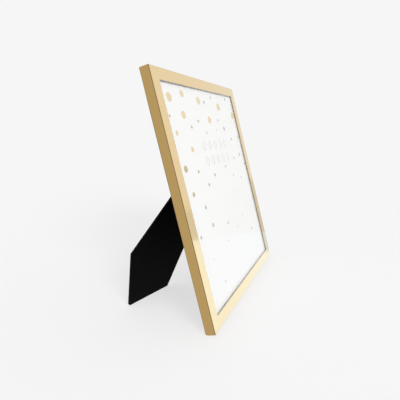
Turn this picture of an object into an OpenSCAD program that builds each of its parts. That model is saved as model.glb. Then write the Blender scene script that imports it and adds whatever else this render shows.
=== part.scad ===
// Standing picture frame. Four mitred hollow rails hold the glass, the picture and a back panel.
// Turn buttons keep the panel in. A strut folds on a tilted hinge, and its square foot fits the
// frame's corner, so the frame stands upright or on its side.

/* [Picture] */
// Width of the picture that the frame holds
photo_w = 200; // [190:1:260]
// Height of the picture that the frame holds
photo_h = 250; // [240:1:320]
// How far the front lip covers the picture's edge
sight_overlap = 5; // [3:0.5:7]

/* [Rails] */
// Width of the hollow part of a rail
tube_w = 7.5; // [7.4:0.1:9]
// Depth of a rail, front to back
rail_d = 11.4; // [10.4:0.1:14]
// Thickness of the front lip
lip_t = 1.2; // [1:0.1:2]
// Thickness of the tube's other walls
wall_t = 1.3; // [1:0.1:1.5]
// Room between the picture's edge and the rail
rebate_gap = 0.5; // [0.3:0.1:1]
// Radius of the outer front arrises
arris_r = 0.7; // [0.3:0.1:0.8]
// Radius of the outer back arrises
back_arris_r = 1.2; // [0.3:0.1:1.2]
// Radius of the arrises round the opening and the rebate
inner_arris_r = 0.4; // [0.2:0.1:0.6]
// Radius of the lower back arris, on which the frame rests
rest_r = 2.6; // [1:0.1:3]

/* [Corner keys] */
// Length of a corner key's arm
key_arm = 26; // [16:1:36]
// Room between a corner key and the tube
key_gap = 0.1; // [0.05:0.05:0.2]
// Spacing of the ridges on a corner key
key_ridge_pitch = 4; // [3:0.5:6]
// Depth of the grooves between the ridges
key_groove_d = 0.5; // [0.2:0.1:0.8]

/* [Glass, picture and back] */
// Thickness of the glass
glass_t = 1.5; // [1.2:0.1:2.5]
// Thickness of the printed picture card
print_t = 0.3; // [0.2:0.1:0.6]
// Thickness of the back panel
back_t = 3; // [2.5:0.1:3.5]
// How far the back panel lies inside the rails' back plane
back_inset = 0.3; // [0.1:0.1:0.6]

/* [Turn buttons] */
// Width of a turn button
button_w = 5; // [4.6:0.1:6.2]
// Thickness of a turn button
button_t = 0.8; // [0.6:0.1:1.4]
// Reach of a turn button, from its rivet to its tip
button_reach = 17; // [12:0.5:20]
// Distance from the rail's outer side to the button's rivet
button_pivot_in = 4.5; // [4.3:0.1:4.6]
// Radius of the button's rivet
button_rivet_r = 1.2; // [1:0.1:1.3]
// Radius of that rivet's head
button_head_r = 2; // [1.8:0.1:2.6]
// Height of that rivet's head
button_head_h = 0.7; // [0.6:0.1:1.4]
// How far that rivet's tail is wider than its shank
button_tail_over = 0.3; // [0.2:0.05:0.35]
// Length of that rivet's tail inside the tube
button_tail_h = 1; // [0.6:0.1:2]

/* [Strut] */
// Angle at which the frame leans back, in degrees
lean = 14; // [11:0.5:18]
// Angle between the strut and the back panel when the frame stands, in degrees
open_angle = 29; // [26:0.5:33]
// Slope of the hinge line across the panel, in degrees
hinge_tilt = 32.5; // [28:0.5:38]
// Distance from the middle of the panel to the middle of the hinge
hinge_shift = 18; // [10:1:24]
// Distance from the frame's top down to the middle of the hinge
hinge_drop = 91; // [86:1:101]
// Thickness of the strut board
strut_t = 2.5; // [2.2:0.1:3]
// Width of the strut board at the hinge
strut_top_w = 40; // [36:1:46]
// Distance from the frame's side to the foot's corner
foot_inset = 5.6; // [4:0.2:9]
// Length of the foot's edge along the frame's side
foot_side = 66; // [56:1:70]
// Length of the foot's edge along the frame's lower side
foot_end = 58; // [50:1:66]
// Radius of the board's corners
strut_corner_r = 1.5; // [0.5:0.1:3]
// Room between the folded strut and the rails
fold_gap = 0.5; // [0.4:0.1:1]

/* [Strut hinge] */
// Thickness of the hinge's sheet metal
leaf_t = 1; // [0.8:0.1:1.1]
// Radius of the hinge pin
pin_r = 1; // [0.9:0.1:1.2]
// Running clearance round the pin
pin_gap = 0.05; // [0.03:0.01:0.08]
// Width of the hinge
hinge_w = 34; // [30:1:38]
// Height of the plate on the back panel
plate_len = 16; // [14:1:20]
// Width of the strut leaf's own knuckle
knuckle_w = 17; // [12:1:18]
// Side gap between neighbouring knuckles
knuckle_gap = 0.3; // [0.2:0.1:0.6]
// Width of the leaf on the strut, at the hinge
leaf_w = 30; // [24:1:34]
// Width of that leaf at its lower end
leaf_tip_w = 18; // [12:1:22]
// Length of that leaf
leaf_len = 32; // [28:1:40]
// Radius of the leaves' corners
leaf_corner_r = 2; // [1:0.5:4]
// Gap left at the hinge's stop
stop_gap = 0.05; // [0.02:0.01:0.1]
// Radius of the pin's heads
pin_head_r = 1.6; // [1.4:0.1:1.9]
// Thickness of the pin's heads
pin_head_t = 0.7; // [0.5:0.1:1]

/* [Hinge rivets] */
// Radius of a hinge rivet
rivet_r = 1.5; // [1.2:0.1:1.8]
// Radius of a hinge rivet's head
rivet_head_r = 2.8; // [2.4:0.1:3.2]
// Height of a hinge rivet's head
rivet_head_h = 1; // [0.7:0.1:1.3]
// Radius of a hinge rivet's clenched tail
rivet_tail_r = 2.3; // [2:0.1:2.6]
// Thickness of a hinge rivet's clenched tail
rivet_tail_h = 0.5; // [0.3:0.1:0.6]
// Spacing of the two rivets in the plate
plate_rivet_span = 22; // [18:1:24]
// Height of those rivets above the pin
plate_rivet_up = 10; // [9:0.5:12]
// Spacing of the upper two rivets in the strut
leaf_rivet_span = 16; // [12:1:18]
// Distance from the pin down to the upper rivets in the strut
leaf_rivet_down = 10; // [8:0.5:12]
// Distance from the pin down to the lower rivet in the strut
leaf_rivet_low = 25; // [21:0.5:28]

/* [Wall hangers] */
// Length of a wall hanger
hanger_len = 40; // [34:1:44]
// Width of a wall hanger
hanger_w = 8; // [6:0.5:10]
// Thickness of its sheet metal
hanger_t = 0.8; // [0.6:0.1:1]
// How far its middle stands off the panel
hanger_raise = 1.6; // [1:0.1:2]
// Length of each flat end
hanger_end = 7; // [6:0.5:8]
// Length of the ramp between an end and the middle
hanger_ramp = 2.5; // [2:0.5:4]
// Spacing of its teeth
tooth_pitch = 2.8; // [2:0.2:4]
// Depth of its teeth
tooth_d = 1.5; // [1:0.1:2]
// Distance from the frame's top to the middle of the upright hanger
hanger_in_top = 34; // [30:1:38]
// Distance from the frame's side to the middle of the sideways hanger
hanger_in_side = 20; // [16:1:28]
// Radius of a hanger nail
nail_r = 0.8; // [0.6:0.1:1]
// Radius of a hanger nail's head
nail_head_r = 1.7; // [1.4:0.1:2]
// Thickness of a hanger nail's head
nail_head_t = 0.6; // [0.4:0.1:0.8]
// Depth that a hanger nail goes into the panel
nail_in = 2.2; // [1.6:0.1:2.4]

/* [Hidden] */
// Smoothness of round shapes
$fn = 72;
// Straight steps in a board's rounded corner
corner_steps = 6;
// How far a cut runs past the solid
overrun = 1;
// Gap between fixed pieces that fit into each other
seat_gap = 0.05;
// Gap between a turn button and what it slides on
slide_gap = 0.1;
// Heights of the buttons on the left and on the right stile, as shares of the frame's height
left_button_shares = [0.45, 0.75];
right_button_shares = [0.25, 0.75];

// Outline of the frame
rail_out = tube_w + rebate_gap;
face_w = rail_out + sight_overlap;
outer_w = photo_w + 2 * rail_out;
outer_h = photo_h + 2 * rail_out;

// Depths from the front face
glass_y = lip_t;
print_y = glass_y + glass_t;
filler_y = print_y + print_t;
back_y = rail_d - back_inset - back_t;
filler_t = back_y - filler_y;
panel_face_y = back_y + back_t;
button_y = rail_d + slide_gap;

// Hinge, with depths counted from the pin's axis
knuckle_r = pin_r + leaf_t;
pin_y = rail_d + fold_gap + strut_t - pin_r;
strut_back = pin_r;
strut_front = strut_back - strut_t;
plate_face = panel_face_y - pin_y;
plate_top = plate_face + leaf_t;
knuckle_clear = knuckle_r + knuckle_gap;
heel_len = (strut_back * cos(open_angle) - plate_top - stop_gap) / sin(open_angle);
hinge_u = outer_w / 2 + hinge_shift;
hinge_height = outer_h - hinge_drop;

// The frame rests on its rounded arris, so it stands this much lower than on a sharp one
rest_drop = rest_r * (sin(lean) + cos(lean) - 1);

// Where a point of the folded strut's front face ends up: its height above the table is
// height * cos(lean) + reach * foot_rate + foot_base, with reach its distance from the pin
foot_rate = cos(hinge_tilt) * (1 - cos(open_angle)) * cos(lean) - sin(open_angle) * sin(lean);
foot_base = strut_front * sin(open_angle) * cos(hinge_tilt) * cos(lean)
    - (pin_y - rail_d + strut_front * cos(open_angle)) * sin(lean) - rest_drop;

// Distance of a folded point at [across, up] from the hinge line, and its place along that line
function reach_of(p) = (hinge_u - p[0]) * sin(hinge_tilt) + (hinge_height - p[1]) * cos(hinge_tilt);
function along_of(p) = (p[0] - hinge_u) * cos(hinge_tilt) - (p[1] - hinge_height) * sin(hinge_tilt);
function to_hinge(p) = [along_of(p), -reach_of(p)];

// Height at which a folded foot point, this far across, touches the table once it is open
function foot_up(across) = -(foot_base + foot_rate * reach_of([across, 0]))
    / (cos(lean) - foot_rate * cos(hinge_tilt));

// The foot's side edge runs towards the point where the hinge line meets the frame's side, which
// lets both its ends touch the table when the frame stands on that side
side_meet_up = hinge_height + hinge_u * tan(hinge_tilt);
foot_corner = [foot_inset, foot_up(foot_inset)];
foot_toe = [foot_inset + foot_end, foot_up(foot_inset + foot_end)];
foot_heel_up = foot_corner[1] + foot_side;
foot_heel = [foot_inset * (side_meet_up - foot_heel_up) / (side_meet_up - foot_corner[1]), foot_heel_up];

// Outline of the strut board as [along the pin, up from the pin]
strut_points = rounded([
    to_hinge(foot_corner),
    to_hinge(foot_toe),
    [strut_top_w / 2, -knuckle_clear],
    [-strut_top_w / 2, -knuckle_clear],
    to_hinge(foot_heel)
], strut_corner_r);

// Outline of the leaf on the strut, below the knuckle
leaf_points = rounded([
    [-leaf_w / 2, -knuckle_clear],
    [-leaf_tip_w / 2, -leaf_len],
    [leaf_tip_w / 2, -leaf_len],
    [leaf_w / 2, -knuckle_clear]
], leaf_corner_r);

// Outline of the plate on the panel, above the knuckle
plate_points = rounded([
    [-hinge_w / 2, 0],
    [hinge_w / 2, 0],
    [hinge_w / 2, plate_len],
    [-hinge_w / 2, plate_len]
], leaf_corner_r);

// Places of the rivets, as [along the pin, up from the pin]
plate_rivets_at = [for (side = [-1, 1]) [side * plate_rivet_span / 2, plate_rivet_up]];
leaf_rivets_at = [
    [-leaf_rivet_span / 2, -leaf_rivet_down],
    [leaf_rivet_span / 2, -leaf_rivet_down],
    [0, -leaf_rivet_low]
];

// Turn buttons as [place across, place up, turn about the rivet]
buttons = [
    [button_pivot_in, left_button_shares[0] * outer_h, 0],
    [button_pivot_in, left_button_shares[1] * outer_h, 0],
    [outer_w - button_pivot_in, right_button_shares[0] * outer_h, 180],
    [outer_w - button_pivot_in, right_button_shares[1] * outer_h, 180],
    [outer_w / 2, outer_h - button_pivot_in, 90],
    [outer_w / 2, button_pivot_in, -90]
];

// Wall hangers as [place across, place up, turn]
hangers = [
    [outer_w / 2, outer_h - hanger_in_top, 0],
    [outer_w - hanger_in_side, outer_h / 2, 90]
];
nail_offset = (hanger_len - hanger_end) / 2;
tooth_count = floor((hanger_len - 2 * (hanger_end + hanger_ramp)) / tooth_pitch);

// A place on the open strut, from [along the pin, up from the pin] and a depth from the pin
function open_place(p, depth) = let (
        back = depth * cos(open_angle) - p[1] * sin(open_angle),
        up = depth * sin(open_angle) + p[1] * cos(open_angle)
    ) [
        hinge_u + p[0] * cos(hinge_tilt) + up * sin(hinge_tilt),
        pin_y + back,
        hinge_height - p[0] * sin(hinge_tilt) + up * cos(hinge_tilt)
    ];
function row_y(p) = (p[1] - rail_d) * cos(lean) + p[2] * sin(lean);

// The origin is at the middle of the standing frame's footprint box, on the table
front_most = arris_r * (cos(lean) + sin(lean) - 1) - rail_d * cos(lean);
back_most = max([for (p = strut_points) row_y(open_place(p, strut_back))]);
origin_y = (front_most + back_most) / 2;

// Rounds every corner of a polygon by r
function unit(v) = v / norm(v);
function corner_arc(before, at, after, r) = let (
        u = unit(before - at),
        v = unit(after - at),
        half = acos(u * v) / 2,
        centre = at + unit(u + v) * r / sin(half),
        from = at + u * r / tan(half) - centre,
        to = at + v * r / tan(half) - centre,
        start = atan2(from[1], from[0]),
        sweep = atan2(from[0] * to[1] - from[1] * to[0], from * to)
    ) [for (i = [0:corner_steps]) let (a = start + sweep * i / corner_steps) centre + r * [cos(a), sin(a)]];
function rounded(points, r) = let (n = len(points)) [
    for (i = [0:n - 1]) each corner_arc(points[(i + n - 1) % n], points[i], points[(i + 1) % n], r)
];

// Leans the upright frame back and puts its footprint's middle at the origin
module standing() {
    translate([0, -origin_y, -rest_drop]) rotate([-lean, 0, 0])
        translate([-outer_w / 2, -rail_d, 0]) children();
}

// The hinge's own axes: x along the pin, y backwards, z away from the foot
module at_hinge() {
    translate([hinge_u, pin_y, hinge_height]) rotate([0, hinge_tilt, 0]) children();
}

module opened() {
    at_hinge() rotate([open_angle, 0, 0]) children();
}

// Turns what is drawn along z so that it points backwards
module backwards() {
    rotate([-90, 0, 0]) children();
}

// A flat plate: an outline in x and z, from depth y over thickness t
module plate(points, y, t) {
    translate([0, y + t, 0]) rotate([90, 0, 0]) linear_extrude(t) polygon(points);
}

// A straight hole of radius r at [x, z], from depth y over length l
module hole(at, y, r, l) {
    translate([at[0], y - overrun, at[1]]) backwards() cylinder(r = r, h = l + 2 * overrun);
}

// A rivet with a domed head, gripping from depth y over length grip, with a clenched tail
module rivet(at, y, grip, r, head_r, head_h, tail_r, tail_h) {
    dome_r = (head_r * head_r + head_h * head_h) / (2 * head_h);
    translate([at[0], y, at[1]]) backwards() {
        translate([0, 0, -tail_h]) cylinder(r = tail_r, h = tail_h);
        cylinder(r = r, h = grip);
        translate([0, 0, grip]) rotate_extrude() intersection() {
            translate([0, head_h - dome_r]) circle(dome_r);
            square([head_r, head_h]);
        }
    }
}

// What an eased arris takes off a square corner whose solid lies towards +x and +y
module arris_cut(r) {
    difference() {
        translate([-overrun, -overrun]) square(r + overrun);
        translate([r, r]) circle(r);
    }
}

// Section of a rail: x from the outer side inwards, y from the front face backwards
module rail_section() {
    difference() {
        union() {
            square([tube_w, rail_d]);
            square([face_w, lip_t]);
        }
        translate([wall_t, lip_t]) square([tube_w - 2 * wall_t, rail_d - lip_t - wall_t]);
        arris_cut(arris_r);
        translate([0, rail_d]) mirror([0, 1]) arris_cut(back_arris_r);
        translate([face_w, 0]) mirror([1, 0]) arris_cut(inner_arris_r);
        translate([tube_w, rail_d]) rotate(180) arris_cut(inner_arris_r);
    }
}

// A rail of the left side, along z, with mitred ends
module rail(length) {
    intersection() {
        linear_extrude(length) rail_section();
        plate([
            [-overrun, -overrun],
            [face_w + overrun, face_w + overrun],
            [face_w + overrun, length - face_w - overrun],
            [-overrun, length + overrun]
        ], -overrun, rail_d + 2 * overrun);
    }
}

// What the rounded resting arris takes off the lower back corner
module rest_cut() {
    difference() {
        translate([-overrun, rail_d - rest_r, -overrun])
            cube([outer_w + 2 * overrun, rest_r + overrun, rest_r + overrun]);
        translate([-2 * overrun, rail_d - rest_r, rest_r]) rotate([0, 90, 0])
            cylinder(r = rest_r, h = outer_w + 4 * overrun);
    }
}

module button_holes() {
    for (b = buttons) hole(b, rail_d - wall_t, button_rivet_r + seat_gap, wall_t);
}

module gold() {
    color([0.87, 0.76, 0.56]) standing() difference() {
        children();
        rest_cut();
        button_holes();
    }
}

module left_stile() {
    gold() rail(outer_h);
}

module right_stile() {
    gold() translate([outer_w, 0, 0]) mirror([1, 0, 0]) rail(outer_h);
}

module bottom_rail() {
    gold() mirror([1, 0, -1]) rail(outer_w);
}

module top_rail() {
    gold() translate([0, 0, outer_h]) mirror([0, 0, 1]) mirror([1, 0, -1]) rail(outer_w);
}

// A corner key for the lower left corner: two ridged arms inside the tubes
module corner_key() {
    section_w = tube_w - 2 * (wall_t + key_gap);
    section_d = rail_d - lip_t - wall_t - 2 * key_gap;
    groove_count = floor((key_arm - section_w) / key_ridge_pitch);
    groove_w = key_ridge_pitch / 2;
    translate([wall_t + key_gap, lip_t + key_gap, wall_t + key_gap]) difference() {
        union() {
            cube([key_arm, section_d, section_w]);
            cube([section_w, section_d, key_arm]);
        }
        for (i = [1:groove_count]) {
            from_corner = section_w + (i - 0.5) * key_ridge_pitch;
            translate([from_corner, -overrun, section_w - key_groove_d])
                cube([groove_w, section_d + 2 * overrun, key_groove_d + overrun]);
            translate([section_w - key_groove_d, -overrun, from_corner])
                cube([key_groove_d + overrun, section_d + 2 * overrun, groove_w]);
        }
    }
}

module nylon() {
    color([0.16, 0.16, 0.17]) standing() children();
}

module key_bottom_left() {
    nylon() corner_key();
}

module key_bottom_right() {
    nylon() translate([outer_w, 0, 0]) mirror([1, 0, 0]) corner_key();
}

module key_top_left() {
    nylon() translate([0, 0, outer_h]) mirror([0, 0, 1]) corner_key();
}

module key_top_right() {
    nylon() translate([outer_w, 0, outer_h]) mirror([0, 0, 1]) mirror([1, 0, 0]) corner_key();
}

// A sheet of the picture's size, from depth y over thickness t
module sheet(y, t) {
    translate([rail_out, y, rail_out]) cube([photo_w, t, photo_h]);
}

module glass() {
    color([0.85, 0.93, 0.93, 0.35]) standing() sheet(glass_y, glass_t);
}

module picture_card() {
    color([0.98, 0.98, 0.97]) standing() sheet(print_y, print_t);
}

module filler_board() {
    color([0.72, 0.58, 0.42]) standing() sheet(filler_y, filler_t);
}

module back_panel() {
    color([0.05, 0.05, 0.05]) standing() difference() {
        sheet(back_y, back_t);
        at_hinge() for (at = plate_rivets_at) {
            hole(at, back_y - pin_y, rivet_r + seat_gap, back_t);
            hole(at, back_y - pin_y - overrun, rivet_tail_r + seat_gap, rivet_tail_h);
        }
        for (h = hangers) at_hanger(h) nails(nail_r + seat_gap, nail_in + seat_gap, overrun);
    }
}

// A turn button, lying along x with its rivet at the origin
module turn_button(b) {
    tip = button_reach - button_w / 2;
    color([0.66, 0.66, 0.64]) standing() translate([b[0], button_y, b[1]]) rotate([0, b[2], 0])
        difference() {
            translate([0, button_t, 0]) rotate([90, 0, 0]) linear_extrude(button_t) {
                circle(d = button_w);
                translate([tip, 0]) circle(d = button_w);
                translate([0, -button_w / 2]) square([tip, button_w]);
            }
            hole([0, 0], 0, button_rivet_r + seat_gap, button_t);
        }
}

module button_left_low() {
    turn_button(buttons[0]);
}

module button_left_high() {
    turn_button(buttons[1]);
}

module button_right_low() {
    turn_button(buttons[2]);
}

module button_right_high() {
    turn_button(buttons[3]);
}

module button_top() {
    turn_button(buttons[4]);
}

module button_bottom() {
    turn_button(buttons[5]);
}

module button_rivets() {
    grip = wall_t + 2 * slide_gap + button_t;
    color([0.78, 0.78, 0.76]) standing() for (b = buttons)
        rivet(b, rail_d - wall_t, grip, button_rivet_r, button_head_r, button_head_h,
              button_rivet_r + button_tail_over, button_tail_h);
}

// A knuckle of the hinge, from x over length l
module knuckle(x, l) {
    translate([x, 0, 0]) rotate([0, 90, 0]) cylinder(r = knuckle_r, h = l);
}

module pin_bore(gap) {
    translate([-hinge_w, 0, 0]) rotate([0, 90, 0]) cylinder(r = pin_r + gap, h = 2 * hinge_w);
}

module hinge_plate() {
    inner = knuckle_w / 2 + knuckle_gap;
    color([0.70, 0.70, 0.68]) standing() at_hinge() difference() {
        union() {
            plate(plate_points, plate_face, leaf_t);
            knuckle(-hinge_w / 2, hinge_w / 2 - inner);
            knuckle(inner, hinge_w / 2 - inner);
        }
        translate([-inner, plate_face - overrun, -overrun])
            cube([2 * inner, knuckle_r - plate_face + overrun, knuckle_clear + overrun]);
        pin_bore(seat_gap);
        for (at = plate_rivets_at) hole(at, plate_face, rivet_r + seat_gap, leaf_t);
    }
}

module hinge_pin() {
    color([0.80, 0.80, 0.78]) standing() at_hinge() rotate([0, 90, 0]) {
        translate([0, 0, -hinge_w / 2]) cylinder(r = pin_r, h = hinge_w);
        for (end = [-1, 1]) translate([0, 0, end * (hinge_w + pin_head_t) / 2])
            cylinder(r = pin_head_r, h = pin_head_t, center = true);
    }
}

module strut_leaf() {
    color([0.70, 0.70, 0.68]) standing() opened() difference() {
        union() {
            plate(leaf_points, strut_back, leaf_t);
            knuckle(-knuckle_w / 2, knuckle_w);
            translate([-knuckle_w / 2, strut_back, -knuckle_clear - leaf_corner_r])
                cube([knuckle_w, leaf_t, knuckle_clear + leaf_corner_r + heel_len]);
        }
        pin_bore(pin_gap);
        for (at = leaf_rivets_at) hole(at, strut_back, rivet_r + seat_gap, leaf_t);
    }
}

module strut_board() {
    color([0.04, 0.04, 0.045]) standing() opened() difference() {
        plate(strut_points, strut_front, strut_t);
        for (at = leaf_rivets_at) hole(at, strut_front, rivet_r + seat_gap, strut_t);
    }
}

module plate_rivets() {
    grip = back_t + leaf_t - rivet_tail_h;
    color([0.80, 0.80, 0.78]) standing() at_hinge() for (at = plate_rivets_at)
        rivet(at, back_y - pin_y + rivet_tail_h, grip, rivet_r, rivet_head_r, rivet_head_h,
              rivet_tail_r, rivet_tail_h);
}

module strut_rivets() {
    color([0.80, 0.80, 0.78]) standing() opened() for (at = leaf_rivets_at)
        rivet(at, strut_front, strut_t + leaf_t, rivet_r, rivet_head_r, rivet_head_h,
              rivet_tail_r, rivet_tail_h);
}

// The hanger's own axes: x along it, y backwards from the panel, z away from its teeth
module at_hanger(h) {
    translate([h[0], panel_face_y, h[1]]) rotate([0, h[2], 0]) children();
}

// Two nail shanks of radius r, from a depth inside the panel to a height above it
module nails(r, depth, height) {
    for (side = [-1, 1]) translate([side * nail_offset, -depth, 0]) backwards()
        cylinder(r = r, h = depth + height);
}

// A stamped strip whose raised middle has a toothed edge for the wall nail
module hanger(h) {
    half = hanger_len / 2;
    bend = half - hanger_end;
    top = bend - hanger_ramp;
    color([0.72, 0.72, 0.70]) standing() at_hanger(h) difference() {
        translate([0, 0, -hanger_w / 2]) linear_extrude(hanger_w) polygon([
            [-half, 0], [-bend, 0], [-top, hanger_raise], [top, hanger_raise], [bend, 0], [half, 0],
            [half, hanger_t], [bend, hanger_t], [top, hanger_raise + hanger_t],
            [-top, hanger_raise + hanger_t], [-bend, hanger_t], [-half, hanger_t]
        ]);
        for (i = [0:tooth_count - 1]) {
            x = (i - (tooth_count - 1) / 2) * tooth_pitch;
            plate([
                [x - tooth_pitch / 2, -hanger_w / 2],
                [x + tooth_pitch / 2, -hanger_w / 2],
                [x, tooth_d - hanger_w / 2]
            ], -overrun, hanger_raise + hanger_t + 2 * overrun);
        }
        nails(nail_r + seat_gap, overrun, hanger_t + overrun);
    }
}

module hanger_upright() {
    hanger(hangers[0]);
}

module hanger_sideways() {
    hanger(hangers[1]);
}

module hanger_nails() {
    color([0.80, 0.80, 0.78]) standing() for (h = hangers) at_hanger(h) {
        nails(nail_r, nail_in, hanger_t);
        translate([0, hanger_t, 0]) nails(nail_head_r, 0, nail_head_t);
    }
}

left_stile();
right_stile();
top_rail();
bottom_rail();
key_bottom_left();
key_bottom_right();
key_top_left();
key_top_right();
glass();
picture_card();
filler_board();
back_panel();
button_left_low();
button_left_high();
button_right_low();
button_right_high();
button_top();
button_bottom();
button_rivets();
hinge_plate();
hinge_pin();
strut_leaf();
strut_board();
plate_rivets();
strut_rivets();
hanger_upright();
hanger_sideways();
hanger_nails();
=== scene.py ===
"""Finishes of a standing picture frame: gold rails, glass, a printed card, boards and plated hardware."""

import math

import bmesh
import bpy
from bpy.props import FloatProperty, FloatVectorProperty, IntProperty, PointerProperty
from mathutils import Matrix, Vector


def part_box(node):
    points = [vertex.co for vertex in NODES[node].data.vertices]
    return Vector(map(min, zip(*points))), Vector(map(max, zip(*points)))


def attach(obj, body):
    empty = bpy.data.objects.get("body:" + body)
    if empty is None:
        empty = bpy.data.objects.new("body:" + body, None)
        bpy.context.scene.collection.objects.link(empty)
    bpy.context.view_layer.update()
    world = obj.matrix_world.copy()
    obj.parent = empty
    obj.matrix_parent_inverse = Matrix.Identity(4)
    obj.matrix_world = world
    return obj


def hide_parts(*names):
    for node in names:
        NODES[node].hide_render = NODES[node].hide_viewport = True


bl_info = {
    "name": "Standing picture frame",
    "version": (1, 0, 0),
    "blender": (4, 5, 0),
    "location": "3D View > Sidebar > Picture frame",
    "description": "Finishes a standing picture frame: rails, glass, printed card, boards and hardware",
    "category": "Object",
}

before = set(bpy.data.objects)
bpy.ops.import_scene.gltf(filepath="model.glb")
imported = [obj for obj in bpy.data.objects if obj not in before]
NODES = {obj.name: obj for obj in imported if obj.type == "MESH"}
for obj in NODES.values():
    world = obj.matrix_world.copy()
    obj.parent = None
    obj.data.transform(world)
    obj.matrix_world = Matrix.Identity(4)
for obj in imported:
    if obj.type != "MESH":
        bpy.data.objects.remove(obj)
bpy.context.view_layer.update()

MM = 0.001

# The frame leans back by this angle, as the part does
LEAN = math.radians(14)

# The picture's own directions: across it, up it, and out of it towards the viewer
ACROSS = Vector((1, 0, 0))
UP = Vector((0, math.sin(LEAN), math.cos(LEAN)))
OUT = Vector((0, -math.cos(LEAN), math.sin(LEAN)))

# The printed card's thickness, its lower left corner on the printed side, and its size
CARD_THICK = 0.3 * MM
CARD_LOW, CARD_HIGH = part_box("picture_card")
CARD_CORNER = Vector((CARD_LOW.x, CARD_LOW.y, CARD_LOW.z + CARD_THICK * math.sin(LEAN)))
CARD_WIDE = CARD_HIGH.x - CARD_LOW.x
CARD_TALL = (CARD_HIGH.z - CARD_LOW.z - CARD_THICK * math.sin(LEAN)) / math.cos(LEAN)

# From the printed side's plane, x across, y up and z out of it, to where the card stands
ON_CARD = Matrix.Translation(CARD_CORNER) @ Matrix((ACROSS, UP, OUT)).transposed().to_4x4()

# In directions that lean with the frame: how far back its face is, and its opening's middle and half size
FRONT_FACE = -57.985 * MM
OPENING_MIDDLE = (0, 120.817 * MM)
OPENING_HALF = (95 * MM, 120 * MM)

# The lip's edge, which carries a painted shade line, is no further than this from the opening's outline and
# from the front face
LIP_BAND, LIP_DEPTH = 0.3 * MM, 1.3 * MM

# The cosines of the turn from a rail's own directions at which a face ends and an arris, which gets painted
# shade, is under way
FACE_COSINE, ARRIS_COSINE = 0.995, 0.95

# Most values of a noise texture lie between these
NOISE_LOW, NOISE_HIGH = 0.3, 0.7

# A band texture of scale 1 has this many bands in a metre
BANDS_PER_SCALE = 10 / math.pi

# The camera, fitted to the frame's corners: its lens in millimetres, its shifts, its place and its aim
CAMERA_LENS = 29.23
CAMERA_SHIFT = (-0.1003, -0.0617)
CAMERA_PLACE = (-0.3730, -0.1779, 0.2028)
CAMERA_AIM = (0.9328, 0.3288, -0.1477)

# The direction that the key light comes from, and how wide it looks, which is as wide as a large soft box
KEY_FROM = (-0.55, -0.75, 0.45)
KEY_WIDTH = math.radians(25)

# The floor is a wide disc, a hair under the frame's feet
FLOOR_RADIUS, FLOOR_SIDES = 60, 96
FLOOR_DROP = 0.3 * MM

# A spot on the floor by the left stile's foot. The white table lies to its right and in front of it.
LEFT_FOOT = (-0.1, -0.06)

# The table's far edge runs where x and this many times y add up to the second number
TABLE_SLANT, TABLE_REACH = 0.94, 0.2

# The table is in shade where this many times x, plus y, is over the second number, and x over the third.
# The shade's two edges are as soft as this.
SHADE_SLANT, SHADE_REACH, SHADE_ACROSS = 0.35, -0.031, 0.145
SHADE_SOFT, SHADE_SOFT_ACROSS = 0.003, 0.02

# Behind the frame the floor darkens between these two distances, down to this share
FAR_START, FAR_END, FAR_SHARE = 0.05, 0.6, 0.25

# Dim stretches of the room, each by its middle's angle from straight in front to the right, its reach on
# both sides and its strength. The floor alone is also dim far off on the right, which the right stile
# mirrors.
DIM_ROOM = ((-105, 50, 1), (-20, 25, 0.45))
DIM_FLOOR = (*DIM_ROOM, (90, 25, 0.25))

# A dim stretch fades in and out over this angle on both sides of its ends
DIM_FADE = 12

# Confetti on the card as (across, up, radius) in millimetres from its lower left corner
GOLD_DOTS = (
    (18.5, 230, 5), (46.5, 236, 4), (83.5, 231, 4.8), (141, 226.5, 5.2), (39.5, 212.5, 4.5),
    (103, 208, 4.6), (187.5, 216, 5.2), (17, 193, 2.7), (41, 174.5, 3.1), (190, 183, 3.2),
)
BRONZE_DOTS = (
    (17, 155.5, 3.7), (11, 210.5, 1.4), (71, 206, 1.8), (51.5, 199, 1.8), (42.5, 149.5, 1.9),
    (81.5, 140.5, 2), (60, 132, 2), (20.5, 128, 2.7),
)
GREY_DOTS = (
    (99, 230, 2.1), (122, 238, 2), (172.5, 239, 2.2), (129.5, 208, 2), (144, 196.5, 3), (117.5, 195, 1.2),
    (86.5, 192, 1.5), (161.5, 181.5, 2.1), (180, 158, 2.5), (155.5, 154.5, 1.9), (118.5, 146.5, 1.7),
    (138.5, 132.5, 1.4), (192, 142, 2), (165.5, 125, 1.5), (86, 79.5, 1.7), (136.5, 77, 1.2),
    (112.5, 67, 1), (76, 60, 1), (29.5, 55, 0.8), (160, 50, 1.7), (43.5, 23.5, 1.1), (39, 110, 2.3),
    (46.5, 88, 2.4), (14, 84, 1.8),
)
DOT_SIDES = 40

# The rows of lozenges: how many, their middle on the card, and the distances across and up between the
# middles of the outermost lozenges, in millimetres
LOZENGE_ROWS = 2
LOZENGE_MIDDLE = (102.5, 167.5)
LOZENGE_SPAN = (62, 18)


def linear(hex_code):
    """An sRGB hex colour as linear red, green and blue."""
    shares = [int(hex_code[i : i + 2], 16) / 255 for i in (1, 3, 5)]
    return tuple(s / 12.92 if s <= 0.04045 else ((s + 0.055) / 1.055) ** 2.4 for s in shares)


def add(tree, kind, inputs=None, **settings):
    """Adds a node to a tree, sets its settings, and sets or links its inputs."""
    made = tree.nodes.new(kind)
    for name, value in settings.items():
        setattr(made, name, value)
    for name, value in (inputs or {}).items():
        socket = made.inputs[name]
        if isinstance(value, bpy.types.NodeSocket):
            tree.links.new(value, socket)
        elif socket.type == "RGBA":
            socket.default_value = (*value, 1)
        else:
            socket.default_value = value
    return made


def new_material(name):
    """A material with an empty node tree."""
    material = bpy.data.materials.new(name)
    material.use_nodes = True
    material.node_tree.nodes.clear()
    return material, material.node_tree


def finish_nodes(material, names):
    """Gives a material to CAD nodes, through their material slots."""
    for name in names:
        slots = NODES[name].material_slots
        if not slots:
            NODES[name].data.materials.append(material)
        for slot in slots:
            slot.material = material


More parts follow.
